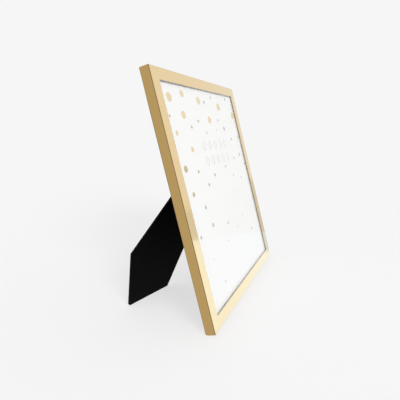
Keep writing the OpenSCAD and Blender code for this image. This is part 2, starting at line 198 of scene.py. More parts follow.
def colour(name, description, hex_code):
    """A colour that a user can change."""
    return FloatVectorProperty(
        name=name,
        description=description,
        default=linear(hex_code),
        size=3,
        min=0,
        max=1,
        subtype="COLOR",
    )


def glow(name, description, light):
    """A light's colour that a user can change, in linear values that may pass white."""
    return FloatVectorProperty(
        name=name,
        description=description,
        default=light,
        size=3,
        min=0,
        max=2,
        subtype="COLOR",
    )


def share(name, description, default):
    """A share from 0 to 1 that a user can change."""
    return FloatProperty(
        name=name,
        description=description,
        default=default,
        min=0,
        max=1,
        subtype="FACTOR",
    )


def length(name, description, millimetres):
    """A length that a user can change, given in millimetres."""
    return FloatProperty(
        name=name,
        description=description,
        default=millimetres * MM,
        min=0,
        unit="LENGTH",
        precision=5,
    )


class RailFinish(bpy.types.PropertyGroup):
    """The finish of the rails."""

    gold: colour("Gold", "Colour of the anodised metal", "#F5D9A3")
    deep_gold: colour("Deeper gold", "Colour where the dye took a little more strongly", "#F1D399")
    # Painted shade: a darker gold on the arrises, for the dark line that shading draws along them
    arris_painted_shade: colour("Arris gold", "Colour of the arrises, which the buffing wheel misses", "#9A7645")
    # Painted shade: a grey-brown on the lip's edge round the opening, for the shadow line there
    lip_painted_shade: colour("Lip edge", "Colour of the lip's edge, which reads as a thin brown line", "#B5AB99")
    die_line_gap: length("Die line spacing", "Distance between the fine lines left by the die", 0.5)
    die_line_run: length("Die line length", "Distance over which one of these lines changes", 60)
    dye_cloud: length("Dye cloud", "Size of the clouds in the dye", 35)
    roughness: share("Metal roughness", "Roughness of the brightened metal under the oxide layer", 0.09)
    layer_roughness: share("Layer roughness", "Roughness of the clear oxide layer", 0.03)


class CardPrint(bpy.types.PropertyGroup):
    """The printed card."""

    paper: colour("Paper", "Colour of the bare card", "#FBFBFA")
    gold_ink: colour("Gold ink", "Colour of the large dots", "#E9D9B3")
    bronze_ink: colour("Bronze ink", "Colour of the middling dots", "#C9BC93")
    grey_ink: colour("Grey ink", "Colour of the small dots", "#C4C6C6")
    line_ink: colour("Line ink", "Colour of the lozenges' lines", "#C9CBCC")
    ink_thick: length("Ink thickness", "How far the ink stands off the card", 0.04)
    lozenge_wide: length("Lozenge width", "Width of one lozenge", 8)
    lozenge_tall: length("Lozenge height", "Height of one lozenge", 11)
    lozenge_line: length("Lozenge line", "Width of a lozenge's line", 0.8)
    lozenges: IntProperty(name="Lozenges", description="Lozenges in a row", default=5, min=1, max=12)


class GlassFinish(bpy.types.PropertyGroup):
    """The pane of glass."""

    tint: colour("Tint", "Colour of the light that the glass passes", "#FFFFFF")
    thick: length("Thickness", "Thickness of the pane, a little less than its room", 1.4)
    room: length("Room", "Distance from the card to the lip of the rails", 1.5)
    seamed: length("Seamed edge", "Width of the seam ground on the pane's edges", 0.2)


class BackFinish(bpy.types.PropertyGroup):
    """The boards and the hardware behind the picture."""

    black: colour("Strut paper", "Colour of the paper on the strut", "#070708")
    charcoal: colour("Panel paper", "Colour of the paper on the back panel", "#1B1B1C")
    kraft: colour("Kraft", "Colour of the corrugated filler", "#B59A73")
    zinc: colour("Zinc", "Colour of the zinc plated sheet", "#BDBFBD")
    nickel: colour("Nickel", "Colour of the nickel plated rivets", "#D6D2C8")
    nylon: colour("Nylon", "Colour of the corner keys", "#2A2A2C")


class Studio(bpy.types.PropertyGroup):
    """The studio round the frame."""

    background: colour("Background", "Colour that the camera sees round the frame", "#F6F6F6")
    ground: colour("Ground", "The floor's tone, which its shadow brings down to the background", "#FCFCFC")
    cloth: colour("Floor cloth", "The matt floor that takes the shadow the camera sees", "#F8F8F8")
    bounce: colour("Floor bounce", "The matt floor as it throws light up at the frame", "#CFCFCF")
    bright_side: colour("Bright side", "The room as the metal mirrors it, but for its dim side", "#F2F1EE")
    dark_side: colour("Dim side", "The room to the left, as the metal mirrors it", "#BDB195")
    fill: colour("Fill light", "Even light that reaches everything but the mirror images", "#D4D4D4")
    bright_floor: colour("Bright floor", "The floor beyond the table, as the metal mirrors it", "#E3E5E4")
    table_glow: glow("Table glow", "The white table in front, as the metal mirrors it", (1.05, 1.15, 1.24))
    shade_glow: glow("Shaded table", "That table's shaded end, as the metal mirrors it", (0.73, 0.87, 1.04))
    key_strength: FloatProperty(
        name="Key light",
        description="Strength of the key light",
        default=1.6,
        min=0,
    )
    shadow_share: share("Shadow", "How much of the floor's shadow the camera sees", 0.35)


SETTINGS = {
    "rail_finish": RailFinish,
    "card_print": CardPrint,
    "glass_finish": GlassFinish,
    "back_finish": BackFinish,
    "studio": Studio,
}


def arris_shade_share(tree, normal):
    """How far a surface has turned from the rail's own directions: 0 on a face, 1 on an arris, where the
    painted shade goes.
    """
    facing = add(tree, "ShaderNodeVectorRotate", {"Vector": normal, "Angle": LEAN}, rotation_type="X_AXIS")
    size = add(tree, "ShaderNodeVectorMath", {0: facing.outputs[0]}, operation="ABSOLUTE")
    sides = add(tree, "ShaderNodeSeparateXYZ", {"Vector": size.outputs[0]})
    most = add(tree, "ShaderNodeMath", {0: sides.outputs["X"], 1: sides.outputs["Y"]}, operation="MAXIMUM")
    most = add(tree, "ShaderNodeMath", {0: most.outputs[0], 1: sides.outputs["Z"]}, operation="MAXIMUM")
    turned = {"Value": most.outputs[0], "From Min": FACE_COSINE, "From Max": ARRIS_COSINE}
    return add(tree, "ShaderNodeMapRange", turned).outputs["Result"]


def lip_shade_share(tree, leaning):
    """1 on the lip's edge, where the painted shade line goes, and 0 elsewhere, for a place given in
    directions that lean with the frame.
    """
    spot = add(tree, "ShaderNodeSeparateXYZ", {"Vector": leaning})
    away = []
    for axis, middle, half in zip("XZ", OPENING_MIDDLE, OPENING_HALF):
        off = add(tree, "ShaderNodeMath", {0: spot.outputs[axis], 1: middle}, operation="SUBTRACT")
        off = add(tree, "ShaderNodeMath", {0: off.outputs[0]}, operation="ABSOLUTE")
        off = add(tree, "ShaderNodeMath", {0: off.outputs[0], 1: half}, operation="SUBTRACT")
        away.append(off.outputs[0])
    beside = add(tree, "ShaderNodeMath", {0: away[0], 1: away[1]}, operation="MAXIMUM")
    inside = add(tree, "ShaderNodeMath", {0: beside.outputs[0], 1: LIP_BAND}, operation="LESS_THAN")
    behind = {0: spot.outputs["Y"], 1: FRONT_FACE + LIP_DEPTH}
    shallow = add(tree, "ShaderNodeMath", behind, operation="LESS_THAN")
    both = {0: inside.outputs[0], 1: shallow.outputs[0]}
    return add(tree, "ShaderNodeMath", both, operation="MULTIPLY").outputs[0]


def anodised_aluminium(name, along, finish):
    """Extruded aluminium, brightened and anodised pale gold.
    The eye sees a soft metal glow under a crisp clear layer, with faint lines that run along the rail."""
    material, tree = new_material(name)
    place = add(tree, "ShaderNodeTexCoord")
    upright = {"Vector": place.outputs["Object"], "Angle": LEAN}
    leaning = add(tree, "ShaderNodeVectorRotate", upright, rotation_type="X_AXIS").outputs[0]
    # On the metal the lines are about 0.05 mm apart; they are drawn coarser so that they show
    fine, slow = 1 / finish.die_line_gap, 1 / finish.die_line_run
    pitch = (slow if along == "X" else fine, fine, slow if along == "Z" else fine)
    stretch = add(tree, "ShaderNodeMapping", {"Vector": leaning, "Scale": pitch})
    lines = add(
        tree,
        "ShaderNodeTexNoise",
        {"Vector": stretch.outputs[0], "Scale": 1, "Detail": 3, "Roughness": 0.6},
    )
    # Dye takes unevenly over a few centimetres
    dye = add(tree, "ShaderNodeTexNoise", {"Vector": leaning, "Scale": 1 / finish.dye_cloud, "Detail": 2})
    tone = add(
        tree,
        "ShaderNodeMix",
        {"Factor": dye.outputs["Fac"], "A": finish.gold, "B": finish.deep_gold},
        data_type="RGBA",
    )
    # Painted shade: the arrises and the lip's edge get darker tones, which stand in for the dark lines that
    # light and shade draw along them
    for factor, tint in (
        (arris_shade_share(tree, place.outputs["Normal"]), finish.arris_painted_shade),
        (lip_shade_share(tree, leaning), finish.lip_painted_shade),
    ):
        tone = add(
            tree,
            "ShaderNodeMix",
            {"Factor": factor, "A": tone.outputs["Result"], "B": tint},
            data_type="RGBA",
        )
    # The lines swing the roughness by about a quarter either way
    rough = add(
        tree,
        "ShaderNodeMapRange",
        {
            "Value": lines.outputs["Fac"],
            "From Min": NOISE_LOW,
            "From Max": NOISE_HIGH,
            "To Min": finish.roughness * 0.8,
            "To Max": finish.roughness * 1.25,
        },
    )
    relief = {"Height": lines.outputs["Fac"], "Strength": 0.12, "Distance": 0.02 * MM}
    ridges = add(tree, "ShaderNodeBump", relief)
    metal = add(
        tree,
        "ShaderNodeBsdfPrincipled",
        {
            "Base Color": tone.outputs["Result"],
            "Metallic": 1.0,
            "Roughness": rough.outputs["Result"],
            "Normal": ridges.outputs["Normal"],
            "Coat Weight": 1.0,
            "Coat Roughness": finish.layer_roughness,
            "Coat IOR": 1.65,
        },
    )
    add(tree, "ShaderNodeOutputMaterial", {"Surface": metal.outputs[0]})
    return material


def float_glass(name, finish):
    """Float glass, polished flat and coated against reflections.
    The eye sees the card with only a trace of the room mirrored over it, which takes an index below plain
    glass's 1.5."""
    material, tree = new_material(name)
    pane = add(
        tree,
        "ShaderNodeBsdfPrincipled",
        {"Base Color": finish.tint, "Roughness": 0.0, "IOR": 1.08, "Transmission Weight": 1.0},
    )
    # Light for the card passes straight through the pane
    through = add(tree, "ShaderNodeBsdfTransparent", {"Color": finish.tint})
    ray = add(tree, "ShaderNodeLightPath")
    lit = add(
        tree,
        "ShaderNodeMath",
        {0: ray.outputs["Is Shadow Ray"], 1: ray.outputs["Is Diffuse Ray"]},
        operation="MAXIMUM",
    )
    both = add(tree, "ShaderNodeMixShader", {0: lit.outputs[0], 1: pane.outputs[0], 2: through.outputs[0]})
    add(tree, "ShaderNodeOutputMaterial", {"Surface": both.outputs[0]})
    return material


def coated_paper(name, tint, roughness, grain, depth):
    """Calendered paper or a layer of ink on it. The eye sees an even tone with a trace of fibre."""
    material, tree = new_material(name)
    place = add(tree, "ShaderNodeTexCoord")
    fibre = add(
        tree,
        "ShaderNodeTexNoise",
        {"Vector": place.outputs["Object"], "Scale": 1 / grain, "Detail": 4},
    )
    shade = add(
        tree,
        "ShaderNodeMapRange",
        {
            "Value": fibre.outputs["Fac"],
            "From Min": NOISE_LOW,
            "From Max": NOISE_HIGH,
            "To Min": 0.975,
            "To Max": 1.0,
        },
    )
    tone = add(
        tree,
        "ShaderNodeMix",
        {"Factor": 1.0, "A": tint, "B": shade.outputs["Result"]},
        data_type="RGBA",
        blend_type="MULTIPLY",
    )
    relief = {"Height": fibre.outputs["Fac"], "Strength": 0.2, "Distance": depth}
    tooth = add(tree, "ShaderNodeBump", relief)
    surface = add(
        tree,
        "ShaderNodeBsdfPrincipled",
        {
            "Base Color": tone.outputs["Result"],
            "Roughness": roughness,
            "Normal": tooth.outputs["Normal"],
        },
    )
    add(tree, "ShaderNodeOutputMaterial", {"Surface": surface.outputs[0]})
    return material


def paper_faced_board(name, tint, shine):
    """Pressed fibreboard faced with matt dark paper. The eye sees a deep tone with a fine dry tooth."""
    material, tree = new_material(name)
    place = add(tree, "ShaderNodeTexCoord")
    # Paper tooth is about 0.2 mm, drawn at 0.7 mm so that it shows
    tooth = add(
        tree,
        "ShaderNodeTexNoise",
        {"Vector": place.outputs["Object"], "Scale": 1 / (0.7 * MM), "Detail": 5},
    )
    # The paper has rubbed a little lighter in patches as wide as a thumb
    cloud = add(
        tree,
        "ShaderNodeTexNoise",
        {"Vector": place.outputs["Object"], "Scale": 1 / (18 * MM), "Detail": 3},
    )
    rubbed = add(
        tree,
        "ShaderNodeMapRange",
        {"Value": cloud.outputs["Fac"], "From Min": 0.35, "From Max": 0.75},
    )
    tone = add(
        tree,
        "ShaderNodeMix",
        {"Factor": rubbed.outputs["Result"], "A": tint, "B": tuple(c * 1.6 for c in tint)},
        data_type="RGBA",
    )
    rough = add(
        tree,
        "ShaderNodeMapRange",
        {
            "Value": tooth.outputs["Fac"],
            "From Min": NOISE_LOW,
            "From Max": NOISE_HIGH,
            "To Min": 0.62,
            "To Max": 0.85,
        },
    )
    relief = {"Height": tooth.outputs["Fac"], "Strength": 0.35, "Distance": 0.06 * MM}
    bumps = add(tree, "ShaderNodeBump", relief)
    board = add(
        tree,
        "ShaderNodeBsdfPrincipled",
        {
            "Base Color": tone.outputs["Result"],
            "Roughness": rough.outputs["Result"],
            "Specular IOR Level": shine,
            "Normal": bumps.outputs["Normal"],
        },
    )
    add(tree, "ShaderNodeOutputMaterial", {"Surface": board.outputs[0]})
    return material


def plated_steel(name, tint, roughness, crystal):
    """Pressed steel with a thin bright plating. The eye sees a grey metal clouded by its crystals."""
    material, tree = new_material(name)
    place = add(tree, "ShaderNodeTexCoord")
    spangle = add(
        tree,
        "ShaderNodeTexVoronoi",
        {"Vector": place.outputs["Object"], "Scale": 1 / crystal},
    )
    grain = add(
        tree,
        "ShaderNodeTexNoise",
        {"Vector": place.outputs["Object"], "Scale": 1 / (0.4 * MM), "Detail": 3},
    )
    # Some crystals are up to a tenth darker than others
    grey = add(tree, "ShaderNodeSeparateColor", {"Color": spangle.outputs["Color"]})
    tone = add(
        tree,
        "ShaderNodeMix",
        {"Factor": grey.outputs["Red"], "A": tint, "B": tuple(c * 0.9 for c in tint)},
        data_type="RGBA",
    )
    rough = add(
        tree,
        "ShaderNodeMapRange",
        {
            "Value": grain.outputs["Fac"],
            "From Min": NOISE_LOW,
            "From Max": NOISE_HIGH,
            "To Min": roughness * 0.85,
            "To Max": roughness * 1.2,
        },
    )
    relief = {"Height": grain.outputs["Fac"], "Strength": 0.15, "Distance": 0.02 * MM}
    bumps = add(tree, "ShaderNodeBump", relief)
    metal = add(
        tree,
        "ShaderNodeBsdfPrincipled",
        {
            "Base Color": tone.outputs["Result"],
            "Metallic": 1.0,
            "Roughness": rough.outputs["Result"],
            "Normal": bumps.outputs["Normal"],
        },
    )
    add(tree, "ShaderNodeOutputMaterial", {"Surface": metal.outputs[0]})
    return material


def moulded_nylon(name, tint):
    """Injection moulded nylon. The eye sees an even dark grey with a waxy sheen and a fine spark grain."""
    material, tree = new_material(name)
    place = add(tree, "ShaderNodeTexCoord")
    spark = add(
        tree,
        "ShaderNodeTexNoise",
        {"Vector": place.outputs["Object"], "Scale": 1 / (0.3 * MM), "Detail": 3},
    )
    rough = add(
        tree,
        "ShaderNodeMapRange",
        {
            "Value": spark.outputs["Fac"],
            "From Min": NOISE_LOW,
            "From Max": NOISE_HIGH,
            "To Min": 0.42,
            "To Max": 0.58,
        },
    )
    relief = {"Height": spark.outputs["Fac"], "Strength": 0.2, "Distance": 0.03 * MM}
    bumps = add(tree, "ShaderNodeBump", relief)
    body = add(
        tree,
        "ShaderNodeBsdfPrincipled",
        {
            "Base Color": tint,
            "Roughness": rough.outputs["Result"],
            "IOR": 1.53,
            "Normal": bumps.outputs["Normal"],
        },
    )
    add(tree, "ShaderNodeOutputMaterial", {"Surface": body.outputs[0]})
    return material


def corrugated_kraft(name, tint):
    """Corrugated kraft board.
    The eye sees brown fibres with the faint stripes of the flutes under the liner."""
    material, tree = new_material(name)
    place = add(tree, "ShaderNodeTexCoord")
    # B flute: 3.2 mm from crest to crest
    flutes = add(
        tree,
        "ShaderNodeTexWave",
        {
            "Vector": place.outputs["Object"],
            "Scale": 1 / (3.2 * MM) / BANDS_PER_SCALE,
            "Distortion": 0.4,
            "Detail": 2,
        },
        wave_type="BANDS",
        bands_direction="X",
    )
    fibre = add(
        tree,
        "ShaderNodeTexNoise",
        {"Vector": place.outputs["Object"], "Scale": 1 / (1.2 * MM), "Detail": 5},
    )
    tone = add(
        tree,
        "ShaderNodeMix",
        {"Factor": fibre.outputs["Fac"], "A": tint, "B": tuple(c * 0.72 for c in tint)},
        data_type="RGBA",
    )
    relief = {"Height": flutes.outputs["Fac"], "Strength": 0.3, "Distance": 0.1 * MM}
    bumps = add(tree, "ShaderNodeBump", relief)
    board = add(
        tree,
        "ShaderNodeBsdfPrincipled",
        {"Base Color": tone.outputs["Result"], "Roughness": 0.85, "Normal": bumps.outputs["Normal"]},
    )
    add(tree, "ShaderNodeOutputMaterial", {"Surface": board.outputs[0]})
    return material


def new_tree(name, sockets):
    """A geometry tree with a geometry input and these named inputs.
    Returns it, its input node and the inputs' identifiers."""
    tree = bpy.data.node_groups.new(name, "GeometryNodeTree")
    tree.interface.new_socket(name="Geometry", in_out="INPUT", socket_type="NodeSocketGeometry")
    keys = {}
    for title, kind in sockets.items():
        keys[title] = tree.interface.new_socket(name=title, in_out="INPUT", socket_type=kind).identifier
    tree.interface.new_socket(name="Geometry", in_out="OUTPUT", socket_type="NodeSocketGeometry")
    return tree, add(tree, "NodeGroupInput"), keys


def dot_tree():
    """Puts a thin disc of ink on each point, as wide as the point's own radius says."""
    tree, given, keys = new_tree(
        "Printed dots",
        {"Sides": "NodeSocketInt", "Thickness": "NodeSocketFloat", "Ink": "NodeSocketMaterial"},
    )
    disc = add(
        tree,
        "GeometryNodeMeshCylinder",
        {"Vertices": given.outputs["Sides"], "Radius": 1.0, "Depth": 1.0},
    )
    radius = add(tree, "GeometryNodeInputNamedAttribute", {"Name": "dot_radius"}, data_type="FLOAT")
    size = add(
        tree,
        "ShaderNodeCombineXYZ",
        {
            "X": radius.outputs["Attribute"],
            "Y": radius.outputs["Attribute"],
            "Z": given.outputs["Thickness"],
        },
    )
    printed = add(
        tree,
        "GeometryNodeInstanceOnPoints",
        {"Points": given.outputs["Geometry"], "Instance": disc.outputs["Mesh"], "Scale": size.outputs[0]},
    )
    real = add(tree, "GeometryNodeRealizeInstances", {"Geometry": printed.outputs[0]})
    inked = add(
        tree,
        "GeometryNodeSetMaterial",
        {"Geometry": real.outputs[0], "Material": given.outputs["Ink"]},
    )
    add(tree, "NodeGroupOutput", {"Geometry": inked.outputs[0]})
    return tree, keys


def lozenge_tree():
    """Repeats a lozenge drawn in a thin line over a grid."""
    tree, given, keys = new_tree(
        "Lozenge border",
        {
            "Columns": "NodeSocketInt",
            "Rows": "NodeSocketInt",
            "Width": "NodeSocketFloat",
            "Height": "NodeSocketFloat",
            "Line": "NodeSocketFloat",
            "Thickness": "NodeSocketFloat",
            "Total Width": "NodeSocketFloat",
            "Total Height": "NodeSocketFloat",
            "Ink": "NodeSocketMaterial",
        },
    )
    spots = add(
        tree,
        "GeometryNodeMeshGrid",
        {
            "Size X": given.outputs["Total Width"],
            "Size Y": given.outputs["Total Height"],
            "Vertices X": given.outputs["Columns"],
            "Vertices Y": given.outputs["Rows"],
        },
    )
    outline = add(tree, "GeometryNodeCurvePrimitiveCircle", {"Resolution": 4, "Radius": 0.5})
    stretch = add(
        tree,
        "ShaderNodeCombineXYZ",
        {"X": given.outputs["Width"], "Y": given.outputs["Height"], "Z": 1.0},
    )
    shaped = add(
        tree,
        "GeometryNodeTransform",
        {"Geometry": outline.outputs["Curve"], "Scale": stretch.outputs[0]},
    )
    section = add(
        tree,
        "GeometryNodeCurvePrimitiveQuadrilateral",
        {"Width": given.outputs["Line"], "Height": given.outputs["Thickness"]},
    )
    line = add(
        tree,
        "GeometryNodeCurveToMesh",
        {"Curve": shaped.outputs[0], "Profile Curve": section.outputs["Curve"]},
    )
    repeated = add(
        tree,
        "GeometryNodeInstanceOnPoints",
        {"Points": spots.outputs["Mesh"], "Instance": line.outputs["Mesh"]},
    )
    real = add(tree, "GeometryNodeRealizeInstances", {"Geometry": repeated.outputs[0]})
    inked = add(
        tree,
        "GeometryNodeSetMaterial",
        {"Geometry": real.outputs[0], "Material": given.outputs["Ink"]},
    )
    add(tree, "NodeGroupOutput", {"Geometry": inked.outputs[0]})
    return tree, keys


def grow(name, mesh, tree, keys, values, place, body):
    """Runs a geometry tree on a mesh, keeps the result as a plain mesh put in place, and lets it ride."""
    piece = bpy.data.objects.new(name, mesh)
    bpy.context.scene.collection.objects.link(piece)
    modifier = piece.modifiers.new(tree.name, "NODES")
    modifier.node_group = tree
    for title, value in values.items():
        modifier[keys[title]] = value
    made = bpy.data.meshes.new_from_object(piece.evaluated_get(bpy.context.evaluated_depsgraph_get()))
    piece.modifiers.clear()
    piece.data = made
    made.name = name
    made.transform(place)
    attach(piece, body)
    return piece


def new_object(name, shape, material):
    """Turns a bmesh into an object of one material."""
    mesh = bpy.data.meshes.new(name)
    shape.to_mesh(mesh)
    shape.free()
    mesh.materials.append(material)
    made = bpy.data.objects.new(name, mesh)
    bpy.context.scene.collection.objects.link(made)
    return made


def dim_share(tree, across, back, stretches):
    """How dim the room is in a direction seen from the frame, with soft edges between its stretches."""
    ahead = add(tree, "ShaderNodeMath", {0: 0.0, 1: back}, operation="SUBTRACT")
    angle = add(tree, "ShaderNodeMath", {0: across, 1: ahead.outputs[0]}, operation="ARCTAN2")
    most = 0.0
    for middle, reach, strength in stretches:
        off = add(
            tree,
            "ShaderNodeMath",
            {0: angle.outputs[0], 1: math.radians(middle)},
            operation="SUBTRACT",
        )
        away = add(tree, "ShaderNodeMath", {0: off.outputs[0]}, operation="ABSOLUTE")
        dim = add(
            tree,
            "ShaderNodeMapRange",
            {
                "Value": away.outputs[0],
                "From Min": math.radians(reach + DIM_FADE),
                "From Max": math.radians(reach - DIM_FADE),
                "To Max": strength,
            },
            interpolation_type="SMOOTHSTEP",
        )
        both = {0: most, 1: dim.outputs["Result"]}
        most = add(tree, "ShaderNodeMath", both, operation="MAXIMUM").outputs[0]
    return most


def mirror_share(tree, ray):
    """Tells a ray from the metal or the pane, as 1, from every other, as 0."""
    kinds = {0: ray.outputs["Is Glossy Ray"], 1: ray.outputs["Is Transmission Ray"]}
    return add(tree, "ShaderNodeMath", kinds, operation="MAXIMUM").outputs[0]


def table_share(tree, across, back):
    """Where the white table lies, as 1 on it and 0 elsewhere."""
    slant = {0: back, 1: TABLE_SLANT, 2: across}
    run = add(tree, "ShaderNodeMath", slant, operation="MULTIPLY_ADD")
    near = add(tree, "ShaderNodeMath", {0: run.outputs[0], 1: TABLE_REACH}, operation="LESS_THAN")
    front = add(tree, "ShaderNodeMath", {0: back, 1: LEFT_FOOT[1]}, operation="LESS_THAN")
    right = add(tree, "ShaderNodeMath", {0: across, 1: LEFT_FOOT[0]}, operation="GREATER_THAN")
    table = add(tree, "ShaderNodeMath", {0: near.outputs[0], 1: front.outputs[0]}, operation="MULTIPLY")
    laid = {0: table.outputs[0], 1: right.outputs[0]}
    return add(tree, "ShaderNodeMath", laid, operation="MULTIPLY").outputs[0]


def table_shade(tree, across, back):
    """How deep the shade at the table's right end is, which the right stile's lower end mirrors."""
    slant = {0: across, 1: SHADE_SLANT, 2: back}
    beyond = add(tree, "ShaderNodeMath", slant, operation="MULTIPLY_ADD")
    sides = []
    for value, middle, soft in (
        (beyond.outputs[0], SHADE_REACH, SHADE_SOFT),
        (across, SHADE_ACROSS, SHADE_SOFT_ACROSS),
    ):
        edge = {"Value": value, "From Min": middle - soft, "From Max": middle + soft}
        sides.append(add(tree, "ShaderNodeMapRange", edge).outputs["Result"])
    return add(tree, "ShaderNodeMath", {0: sides[0], 1: sides[1]}, operation="MULTIPLY").outputs[0]


def mirrored_floor(tree, studio):
    """The floor as the metal mirrors it.
    A white table in front ends on a slant, which shows as a step in the metal's tone. The floor round it is
    dim to the same sides as the room."""
    place = add(tree, "ShaderNodeTexCoord")
    spot = add(tree, "ShaderNodeSeparateXYZ", {"Vector": place.outputs["Object"]})
    across, back = spot.outputs["X"], spot.outputs["Y"]
    # Behind the frame the floor falls into shade, which gives the back's metal a gradient
    far = add(
        tree,
        "ShaderNodeMapRange",
        {"Value": back, "From Min": FAR_START, "From Max": FAR_END, "To Min": 1.0, "To Max": FAR_SHARE},
    )
    floor_tone = add(
        tree,
        "ShaderNodeMix",
        {"Factor": 1.0, "A": studio.bright_floor, "B": far.outputs["Result"]},
        data_type="RGBA",
        blend_type="MULTIPLY",
    )
    aside = add(tree, "ShaderNodeMath", {0: across, 1: LEFT_FOOT[0]}, operation="SUBTRACT")
    behind = add(tree, "ShaderNodeMath", {0: back, 1: LEFT_FOOT[1]}, operation="SUBTRACT")
    floor_light = add(
        tree,
        "ShaderNodeMix",
        {
            "Factor": dim_share(tree, aside.outputs[0], behind.outputs[0], DIM_FLOOR),
            "A": floor_tone.outputs["Result"],
            "B": studio.dark_side,
        },
        data_type="RGBA",
    )
    table_light = add(
        tree,
        "ShaderNodeMix",
        {"Factor": table_shade(tree, across, back), "A": studio.table_glow, "B": studio.shade_glow},
        data_type="RGBA",
    )
    mirrored = add(
        tree,
        "ShaderNodeMix",
        {
            "Factor": table_share(tree, across, back),
            "A": floor_light.outputs["Result"],
            "B": table_light.outputs["Result"],
        },
        data_type="RGBA",
    )
    return mirrored.outputs["Result"]


def studio_floor(studio):
    """A matt floor that throws neutral light on the frame.
    The camera sees it as one pale tone with a soft shadow, and the metal mirrors its own tones."""
    material, tree = new_material("studio_floor")
    ray = add(tree, "ShaderNodeLightPath")
    camera_ray = ray.outputs["Is Camera Ray"]
    seen = add(
        tree,
        "ShaderNodeMix",
        {"Factor": camera_ray, "A": mirrored_floor(tree, studio), "B": studio.ground},
        data_type="RGBA",
    )
    cloth = add(
        tree,
        "ShaderNodeMix",
        {"Factor": camera_ray, "A": studio.bounce, "B": studio.cloth},
        data_type="RGBA",
    )
    matt = add(tree, "ShaderNodeBsdfDiffuse", {"Color": cloth.outputs["Result"]})
    plain = add(tree, "ShaderNodeEmission", {"Color": seen.outputs["Result"], "Strength": 1.0})
    even = add(
        tree,
        "ShaderNodeMath",
        {0: camera_ray, 1: 1 - studio.shadow_share, 2: mirror_share(tree, ray)},
        operation="MULTIPLY_ADD",
    )
    both = add(tree, "ShaderNodeMixShader", {0: even.outputs[0], 1: matt.outputs[0], 2: plain.outputs[0]})
    add(tree, "ShaderNodeOutputMaterial", {"Surface": both.outputs[0]})
    return material


def studio_room(studio):
    """The room. The metal and the pane mirror its own tones, and an even grey lights everything else."""
    room = bpy.data.worlds.new("studio_room")
    room.use_nodes = True
    tree = room.node_tree
    tree.nodes.clear()
    way = add(tree, "ShaderNodeTexCoord")
    aim = add(tree, "ShaderNodeSeparateXYZ", {"Vector": way.outputs["Generated"]})
    walls = add(
        tree,
        "ShaderNodeMix",
        {
            "Factor": dim_share(tree, aim.outputs["X"], aim.outputs["Y"], DIM_ROOM),
            "A": studio.bright_side,
            "B": studio.dark_side,
        },
        data_type="RGBA",
    )
    ray = add(tree, "ShaderNodeLightPath")
    cast = add(
        tree,
        "ShaderNodeMix",
        {"Factor": mirror_share(tree, ray), "A": studio.fill, "B": walls.outputs["Result"]},
        data_type="RGBA",
    )
    seen = add(
        tree,
        "ShaderNodeMix",
        {"Factor": ray.outputs["Is Camera Ray"], "A": cast.outputs["Result"], "B": studio.background},
        data_type="RGBA",
    )
    light = add(tree, "ShaderNodeBackground", {"Color": seen.outputs["Result"], "Strength": 1.0})
    add(tree, "ShaderNodeOutputWorld", {"Surface": light.outputs[0]})
    return room


class SetStudio(bpy.types.Operator):
    """Makes the floor, the light and the camera"""

    bl_idname = "picture_frame.set_studio"
    bl_label = "Set studio"

    def execute(self, context):
        studio = context.scene.studio
        scene = context.scene

        shape = bmesh.new()
        bmesh.ops.create_circle(shape, cap_ends=True, radius=FLOOR_RADIUS, segments=FLOOR_SIDES)
        bmesh.ops.translate(shape, vec=(0, 0, -FLOOR_DROP), verts=shape.verts)
        floor = new_object("studio_floor", shape, studio_floor(studio))
        scene.world = studio_room(studio)

        lamp = bpy.data.lights.new("key_light", "SUN")
        lamp.energy = studio.key_strength
        lamp.angle = KEY_WIDTH
        key = bpy.data.objects.new("key_light", lamp)
        key.rotation_euler = Vector(KEY_FROM).to_track_quat("Z", "Y").to_euler()
        # The metal and the pane mirror the room alone, so that no view of them has a burnt patch
        key.visible_glossy = False
        key.visible_transmission = False
        scene.collection.objects.link(key)

        lens = bpy.data.cameras.new("camera")
        lens.lens = CAMERA_LENS
        lens.shift_x, lens.shift_y = CAMERA_SHIFT
        lens.clip_start = 10 * MM
        camera = bpy.data.objects.new("camera", lens)
        camera.location = CAMERA_PLACE
        camera.rotation_euler = Vector(CAMERA_AIM).to_track_quat("-Z", "Y").to_euler()
        scene.collection.objects.link(camera)
        scene.camera = camera
        scene.view_settings.view_transform = "Standard"
        return {"FINISHED"}


class GildRails(bpy.types.Operator):
    """Gives the four rails their gold anodised finish, with the lines along each rail"""

    bl_idname = "picture_frame.gild_rails"
    bl_label = "Gild rails"

    def execute(self, context):
        finish = context.scene.rail_finish
        finish_nodes(anodised_aluminium("gold_anodised_stile", "Z", finish), ("left_stile", "right_stile"))
        finish_nodes(anodised_aluminium("gold_anodised_rail", "X", finish), ("top_rail", "bottom_rail"))
        return {"FINISHED"}


class MouldKeys(bpy.types.Operator):
    """Gives the corner keys inside the rails their moulded finish"""

    bl_idname = "picture_frame.mould_keys"
    bl_label = "Mould corner keys"

    def execute(self, context):
        nylon = moulded_nylon("moulded_nylon", context.scene.back_finish.nylon)
        finish_nodes(nylon, ("key_bottom_left", "key_bottom_right", "key_top_left", "key_top_right"))
        return {"FINISHED"}


class FitGlass(bpy.types.Operator):
    """Puts a pane with seamed edges in the place of the plain glass"""

    bl_idname = "picture_frame.fit_glass"
    bl_label = "Fit glass"

    def execute(self, context):
        finish = context.scene.glass_finish
        shape = bmesh.new()
        bmesh.ops.create_cube(shape, size=1)
        bmesh.ops.scale(shape, vec=(CARD_WIDE, CARD_TALL, finish.thick), verts=shape.verts)
        bmesh.ops.bevel(shape, geom=shape.edges[:], offset=finish.seamed, segments=1, affect="EDGES")
        middle = Matrix.Translation((CARD_WIDE / 2, CARD_TALL / 2, finish.room / 2))
        bmesh.ops.transform(shape, matrix=ON_CARD @ middle, verts=shape.verts)
        pane = new_object("glass_pane", shape, float_glass("float_glass", finish))
        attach(pane, "frame")
        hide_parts("glass")
        return {"FINISHED"}


